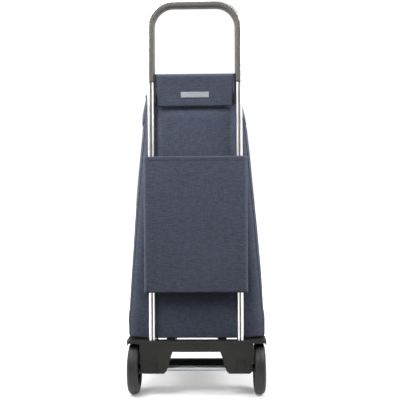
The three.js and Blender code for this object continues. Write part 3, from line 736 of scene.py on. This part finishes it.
def bag_body():
    """The bag's cloth as one open shell: a flat bottom, a rounded lower edge and the walls."""
    steps, middle_shrink, middle_corner = 6, 112 * MM, 60 * MM
    rings = []
    for k in range(steps):  # the bottom, from its middle outwards
        shrink = lerp((middle_shrink, BAG_EDGE), k / steps)
        rings.append(bag_ring(BAG_BASE, shrink, middle_corner))
    for k in range(steps):
        a = math.pi / 2 * k / steps
        z = BAG_BASE + BAG_EDGE * (1 - math.cos(a))
        rings.append(bag_ring(z, BAG_EDGE * (1 - math.sin(a))))
    rings += [bag_ring(z) for z in np.linspace(BAG_BASE + BAG_EDGE, RIM_Z, 84)]
    shaped = [bulged(ring) for ring in rings]
    rows, cols = len(shaped), len(shaped[0])
    faces = grid_faces(rows, cols, wrap_cols=True) + [tuple(reversed(range(cols)))]
    piece = mesh_piece("bag_shell", np.concatenate(shaped), faces, FABRIC, "frame")
    piece.data.materials.append(LINING)
    add_modifier(piece, "SOLIDIFY", thickness=BAG_CLOTH, offset=-1, material_offset=1, material_offset_rim=0)
    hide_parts("bag_back", "bag_front", "bag_bottom", *pair("bag_side"))
    return piece


def bag_trim():
    """Piping down the four corner seams and a binding round the mouth."""
    made = []
    heights = np.linspace(BAG_BASE + BAG_EDGE * 0.6, RIM_Z - 6 * MM, 90)
    rings = [bulged(bag_ring(z)) for z in heights]
    rear = BACK_HALF + CORNER // 2 + 1
    front = BACK_HALF + CORNER + SIDE + CORNER // 2
    cols = len(rings[0])
    seams = {"rear_right": rear, "front_right": front, "front_left": cols - front, "rear_left": cols - rear}
    for where, column in seams.items():
        line = [ring[column] for ring in rings]
        made.append(cord_on(f"bag_piping_{where}", line, PIPING, FABRIC, "frame"))
    rim = bulged(bag_ring(RIM_Z))
    made.append(cord_on("bag_mouth_binding", rim, MOUTH_BINDING, WEBBING, "frame", closed=True))
    return made


# ---- Sleeve round the tubes ----

SLEEVE_LO, SLEEVE_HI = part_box("sleeve_panel")
SLEEVE_CLOTH, SLEEVE_HEM_CLOTH, HEM = 1.5 * MM, 2.2 * MM, 9 * MM
SLEEVE_SLACK, SLEEVE_RIPPLE = 2.2 * MM, 1.6 * MM
SLEEVE_CORNER = 11 * MM
SLEEVE_REAR = TUBE_LO.y - 2.6 * MM


def bag_back_y(x, z):
    """The bag's back surface at a distance from its middle."""
    inner = bag_half(z) - BAG_CORNER
    past = max(abs(x) - inner, 0)
    rear = lerp(BAG_REAR, bag_share(z))
    return rear + BAG_CORNER - math.sqrt(max(BAG_CORNER ** 2 - past ** 2, 0))


def sleeve_row(z):
    """The sleeve's outline at a height, from its left seam round the tubes to its right one."""
    half, corner, rear = SLEEVE_HI.x, SLEEVE_CORNER, SLEEVE_REAR
    level = (z - SLEEVE_LO.z) / (SLEEVE_HI.z - SLEEVE_LO.z)
    seam_y = bag_back_y(half, z) - 0.5 * MM
    side = [(half, y) for y in np.linspace(seam_y, rear + corner, 6)[:-1]]
    turn = [(half - corner + corner * math.cos(a), rear + corner - corner * math.sin(a))
            for a in np.linspace(0, math.pi / 2, 8)[:-1]]
    flat = []
    for x in np.linspace(-1, 1, 57) * (half - corner):
        between = max(1 - (x / (TUBE_X - TUBE_WIDTH / 2)) ** 2, 0)
        slack = SLEEVE_SLACK * between * math.sin(math.pi * min(level * 1.1, 1))
        ripple = noise.noise(Vector((x * 11, z * 5, 3.1))) * SLEEVE_RIPPLE * min(between * 2, 1)
        flat.append((x, rear + slack + ripple))
    outline = [(-x, y) for x, y in side + turn] + flat + list(reversed(side + turn))
    return [(x, y, z) for x, y in outline]


def sleeve():
    """One strip of cloth sewn to the bag on both sides, stretched round the backs of the tubes."""
    points = np.array([sleeve_row(z) for z in np.linspace(SLEEVE_LO.z, SLEEVE_HI.z, 73)])
    normals = surface_normals(points)
    hemmed = (points[..., 2] > SLEEVE_HI.z - HEM) | (points[..., 2] < SLEEVE_LO.z + HEM)
    lift = normals * np.where(hemmed, SLEEVE_HEM_CLOTH - SLEEVE_CLOTH, 0)[..., None]
    thickness = np.where(hemmed, SLEEVE_HEM_CLOTH, SLEEVE_CLOTH)
    piece = cloth_sheet("rear_sleeve", points + lift, thickness, FABRIC, "frame")
    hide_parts("sleeve_panel", *pair("sleeve_side"))
    for where, z in (("top", SLEEVE_HI.z - HEM), ("bottom", SLEEVE_LO.z + HEM)):
        row = int(np.argmin(np.abs(points[:, 0, 2] - z)))
        line = points[row] + normals[row] * 0.5 * MM
        stitches(f"sleeve_stitches_{where}", line, normals[row], "frame")
    # Dark cords down the sleeve's two side seams: painted shade for the shadow along its edges.
    for where, column in (("left", 0), ("right", -1)):
        cord_on(f"sleeve_edge_painted_shade_{where}", points[:, column], 0.9 * MM, LINING, "frame")


# ---- Band over the crossbar ----

BAND_LO, BAND_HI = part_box("bag_band")
BAR_LO, BAR_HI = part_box("hanger_crossbar")
BAND_Y, BAND_Z = (BAR_LO.y + BAR_HI.y) / 2, (BAR_LO.z + BAR_HI.z) / 2
BAND_RADIUS = (BAND_HI.y - BAND_LO.y) / 2
BAND_LOW = BAND_LO.z - 5 * MM
BAND_DRAW, BAND_TAPER = 9 * MM, 0.03  # the rear layer comes forward and narrows towards the seam
BAND_CLOTH, BAND_FOOT = 1.6 * MM, 3 * MM
BAND_RIPPLE, BAND_HOLLOW = 1.3 * MM, 1.2 * MM


def band_drop(z):
    """0 at the crossbar and above it, 1 at the band's lower edge."""
    return min(max((BAND_Z - z) / (BAND_Z - BAND_LOW), 0), 1)


def band_width(z):
    """Width of the band's rear layer, as a share of its width at the crossbar."""
    return 1 - BAND_TAPER * band_drop(z)


def band_rear(x, z):
    """A point of the band's rear layer."""
    return Vector((x * band_width(z), BAND_Y - BAND_RADIUS + BAND_DRAW * band_drop(z), z))


def band_puff(p):
    """How far the band's cloth stands out at a point: it is a little hollow between its edges."""
    if p.z > BAND_Z:
        return 0.0
    slack = math.sin(math.pi * (p.z - BAND_LOW) / (BAND_Z - BAND_LOW))
    edge = 1 - min(abs(p.x) / BAND_HI.x, 1) ** 6
    ripple = noise.noise(Vector((p.x * 14, p.y * 8, p.z * 9))) * BAND_RIPPLE
    return (ripple - BAND_HOLLOW) * slack * edge


def band():
    """A loop of cloth over the crossbar, closed by a seam along its lower edge."""
    foot, half = BAND_FOOT, BAND_HI.x
    columns = np.linspace(-half, half, 61)
    arch = [(BAND_Y - BAND_RADIUS * math.cos(a), BAND_Z + BAND_RADIUS * math.sin(a))
            for a in np.linspace(0, math.pi, 17)]
    corner = [(BAND_RADIUS - foot + foot * math.cos(a), BAND_LOW + foot - foot * math.sin(a))
              for a in np.linspace(0, math.pi / 2, 6)]
    front = [(BAND_Y + BAND_RADIUS, z) for z in np.linspace(BAND_Z, BAND_LOW + foot, 18)[1:-1]]
    front += [(BAND_Y + y, z) for y, z in corner]
    rear = [(2 * BAND_Y - y + BAND_DRAW * band_drop(z), z) for y, z in reversed(front)]
    points = [[(x, y, z) for x in columns] for y, z in arch + front]
    points += [[(x * band_width(z), y, z) for x in columns] for y, z in rear]
    points = np.array(points)
    normals = surface_normals(points, wrap_rows=True)
    for index in np.ndindex(points.shape[:2]):
        points[index] += normals[index] * band_puff(Vector(points[index]))
    piece = cloth_sheet("hanging_band", points, BAND_CLOTH, FABRIC, "frame", wrap_rows=True)
    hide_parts("bag_band")
    for where, z in (("lower", BAND_LOW + 8 * MM), ("upper", BAND_Z + 1 * MM)):
        line = [band_rear(x, z) for x in columns[1:-1]]
        line = [p - Vector((0, band_puff(p) + 0.1 * MM, 0)) for p in line]
        stitches(f"band_stitches_{where}", line, np.tile((0, -1, 0), (len(line), 1)), "frame")


def band_label():
    """A blank woven label with a stitched edge, on the back of the band."""
    drop = Vector((0, 0, 4 * MM))
    low, high = (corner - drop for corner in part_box("band_label"))
    size, inset = (high.x - low.x, high.z - low.z), 1.6 * MM

    def place(x, z):
        y = band_rear(x, z).y
        return Vector((x, y - band_puff(Vector((x, y, z))) - 1 * MM, z))

    points = [[place(x, z) for x in np.linspace(low.x, high.x, 31)] for z in np.linspace(low.z, high.z, 9)]
    piece = cloth_sheet("label_patch", points, 0.7 * MM, LABEL, "frame")
    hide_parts("band_label")
    for where, z in (("lower", low.z + inset), ("upper", high.z - inset)):
        line = [place(x, z) for x in np.linspace(low.x + inset, high.x - inset, 20)]
        stitches(f"label_stitches_{where}", line, np.tile((0, -1, 0), (20, 1)), "frame",
                 pitch=3 * MM, length=2 * MM, radius=0.25 * MM)


# ---- Lid ----

LID_LO, LID_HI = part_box("lid_panel")
FLAP_LO, FLAP_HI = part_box("lid_flap")
HINGE_Z = 777 * MM
LID_CLEAR = 2.2 * MM  # kept below the arch of the lid's solid
LID_CLOTH = 1.5 * MM
GAP_REAR, GAP_SIDE, GAP_FRONT = -0.7 * MM, 0.4 * MM, 2.9 * MM  # from the bag's cloth to the lid's
FILLET_REAR, FILLET_SIDE, FILLET_FRONT = 0.6 * MM, 9 * MM, 12 * MM
FOLDED_REACH = (HINGE_Z + 8 * MM, HINGE_Z + 22 * MM)


def lid_arch(y):
    """The most height that the lid's cloth may have at a depth.

    It stays under the arch of the lid's solid, and low enough to clear the band when it opens folded.
    """
    t = (y - LID_LO.y) / (LID_HI.y - LID_LO.y)
    rear_z, front_z = LID_LO.z, FLAP_HI.z
    bulge = LID_HI.z - (rear_z + front_z) / 2
    arch = lerp((rear_z, front_z), t) + 4 * bulge * t * (1 - t) - LID_CLEAR
    return min(arch, lerp(FOLDED_REACH, t))


def lid_columns(base, normals):
    """For each point round the bag: the lid's hem, shoulder height, fillet and gap."""
    columns = []
    for p, n in zip(base, normals):
        front = smoothstep(0.3, 0.9, n.y)
        rear = smoothstep(0.3, 0.9, -n.y)
        past_flap = smoothstep(FLAP_HI.x - 10 * MM, FLAP_HI.x + 4 * MM, abs(p.x))
        flap = smoothstep(0.35, 0.95, n.y) * (1 - past_flap)
        depth = (p.y - base[0].y) / (base[len(base) // 2].y - base[0].y)
        crown = lerp((LID_LO.z - 0.4 * MM, FLAP_HI.z - 1.5 * MM), depth)
        fillet = lerp((lerp((FILLET_SIDE, FILLET_FRONT), front), FILLET_REAR), rear)
        hem = lerp((lerp((SKIRT_Z, FLAP_LO.z), flap), crown - 2 * MM), rear)
        gap = lerp((lerp((GAP_SIDE, GAP_FRONT), front), GAP_REAR), rear)
        columns.append((hem, crown - fillet, fillet, gap))
    return columns


def lid_rows(base, normals, columns):
    """The lid's inner face as rings: down the skirts and the flap, then in over the soft dome."""
    rows = []
    for share in np.linspace(0, 1, 14):
        row = []
        for j, (hem, shoulder, _, gap) in enumerate(columns):
            z = lerp((hem, shoulder), share)
            p = bulged_at(min(z, RIM_Z), j)
            row.append(Vector((p.x, p.y, z)) + normals[j] * gap)
        rows.append(row)
    inner_depth = (base[len(base) // 2].y - base[0].y) / 2 - 6 * MM
    for share in np.linspace(0, 1, 26)[1:] ** 1.8:
        shrink = inner_depth * share
        ring = bag_ring(RIM_Z, shrink, BAG_CORNER + 24 * MM * share)
        row = []
        for j, (_, shoulder, fillet, gap) in enumerate(columns):
            p = ring[j] + normals[j] * gap * (1 - share)
            low = shoulder + math.sqrt(max(fillet ** 2 - max(fillet - shrink, 0) ** 2, 0))
            high = lid_arch(p.y)
            dome = max(high - low, 0) * (1 - (1 - smoothstep(-0.4, 1, share)) ** 2)
            soft = noise.noise(Vector((p.x * 13, p.y * 13, 5.2))) * 1.5 * MM * min(share * 3, 1)
            row.append(Vector((p.x, p.y, min(low + dome + soft, max(high, low)))))
        rows.append(row)
    return rows


def lid():
    """One curved sheet: a soft dome, skirts at the sides, and the flap over the bag's front."""
    base = bag_ring(RIM_Z)
    normals = [ring_normal(base, j) for j in range(len(base))]
    columns = lid_columns(base, normals)
    rows = lid_rows(base, normals, columns)
    cols = len(base)
    faces = grid_faces(len(rows), cols, wrap_cols=True)
    faces.append(tuple((len(rows) - 1) * cols + j for j in range(cols)))
    piece = mesh_piece("lid_cover", np.concatenate(rows), faces, FABRIC, "lid")
    piece.data.materials.append(LINING)
    add_modifier(piece, "SOLIDIFY", thickness=LID_CLOTH, offset=1, material_offset=1, material_offset_rim=0)
    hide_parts("lid_panel", "lid_flap", *pair("lid_side"))
    edge = [p + n * LID_CLOTH / 2 for p, n in zip(rows[0], normals)]
    binding = cord_on("lid_edge_binding", edge, 0.95 * MM, FABRIC, "lid", closed=True, sides=10)
    return [piece, binding, flap_stitches(rows[0], normals, columns)]


def flap_stitches(hem_row, normals, columns):
    """The row of stitches along the flap's hem."""
    line, ups = [], []
    for j, (p, n) in enumerate(zip(hem_row, normals)):
        if n.y > 0.9 and abs(p.x) < FLAP_HI.x - 14 * MM:
            z = columns[j][0] + 8 * MM
            q = bulged_at(z, j)
            line.append(Vector((q.x, q.y, z)) + n * (GAP_FRONT + LID_CLOTH + 0.1 * MM))
            ups.append(n)
    return stitches("flap_hem_stitches", line, ups, "lid")


STRIP_THICK, TAB_THICK = 0.9 * MM, 1.6 * MM
END_HEIGHT = 6 * MM  # the stretch over which the tab's lower end narrows


def front_strip(name, node, away, thickness, material, body, round_end=0.0):
    """A flat strip that follows the bag's front at a distance, as wide and high as a node.

    Returns the piece and its flat size.
    """
    low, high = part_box(node)
    xs = np.linspace(low.x, high.x, 25)
    rows = []
    for z in np.linspace(low.z, high.z, 13):
        pinch = round_end * max(1 - (z - low.z) / END_HEIGHT, 0) ** 2
        rows.append([(x * (1 - pinch), bag_front_y(x, z) + away, z) for x in xs[::-1]])
    piece = cloth_sheet(name, rows, thickness, material, body)
    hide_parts(node)
    return piece, (high.x - low.x, high.z - low.z)


def closure():
    """The hook and loop strips under the flap, and the webbing tab that pulls it open."""
    made = []
    for kind, node, away, body, rests in (
            ("loop", "flap_strip_loop", 1.2 * MM, "frame", "bag_shell"),
            ("hook", "flap_strip_hook", 2.5 * MM, "lid", "lid_cover")):
        piece, flat = front_strip(f"{kind}_strip", node, away, STRIP_THICK, WEBBING, body)
        made.append(piece)
    away = GAP_FRONT - 0.1 * MM
    tab, flat = front_strip("pull_tab", "lid_pull_tab", away, TAB_THICK, WEBBING, "lid", round_end=0.25)
    made.append(tab)
    return made


# ---- The whole trolley ----

camera()
studio()
frame_tube()
handle_grip()
for side in ("left", "right"):
    tyre(side)
soft = [bag_body(), *bag_trim(), *lid(), *closure()]
sleeve()
band()
band_label()
keep(["chassis"], PLASTIC, 1.0 * MM)
# The skid gets the darker black: painted shade.
keep(["foot_skid"], SKID_SHADED, 1.0 * MM)
keep(pair("wheel_centre"), PLASTIC, 0.5 * MM)
keep(["platform_plate", *pair("hub_bush", "axle_cap", "axle_spacer")], PLASTIC, 0.4 * MM)
keep(pair("hanger_clip", "plate_clip"), PLASTIC, 0.4 * MM)
keep(["axle", "hanger_crossbar", *pair("tube_screw", "pivot_clip")], ZINC, 0.4 * MM)
keep(["platform_rod"], ROD, 0)
# When the platform folds up, the empty bag folds flat against the tubes; here each soft piece only gets a
# mesh of its own.
for piece in soft:
    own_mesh(piece)
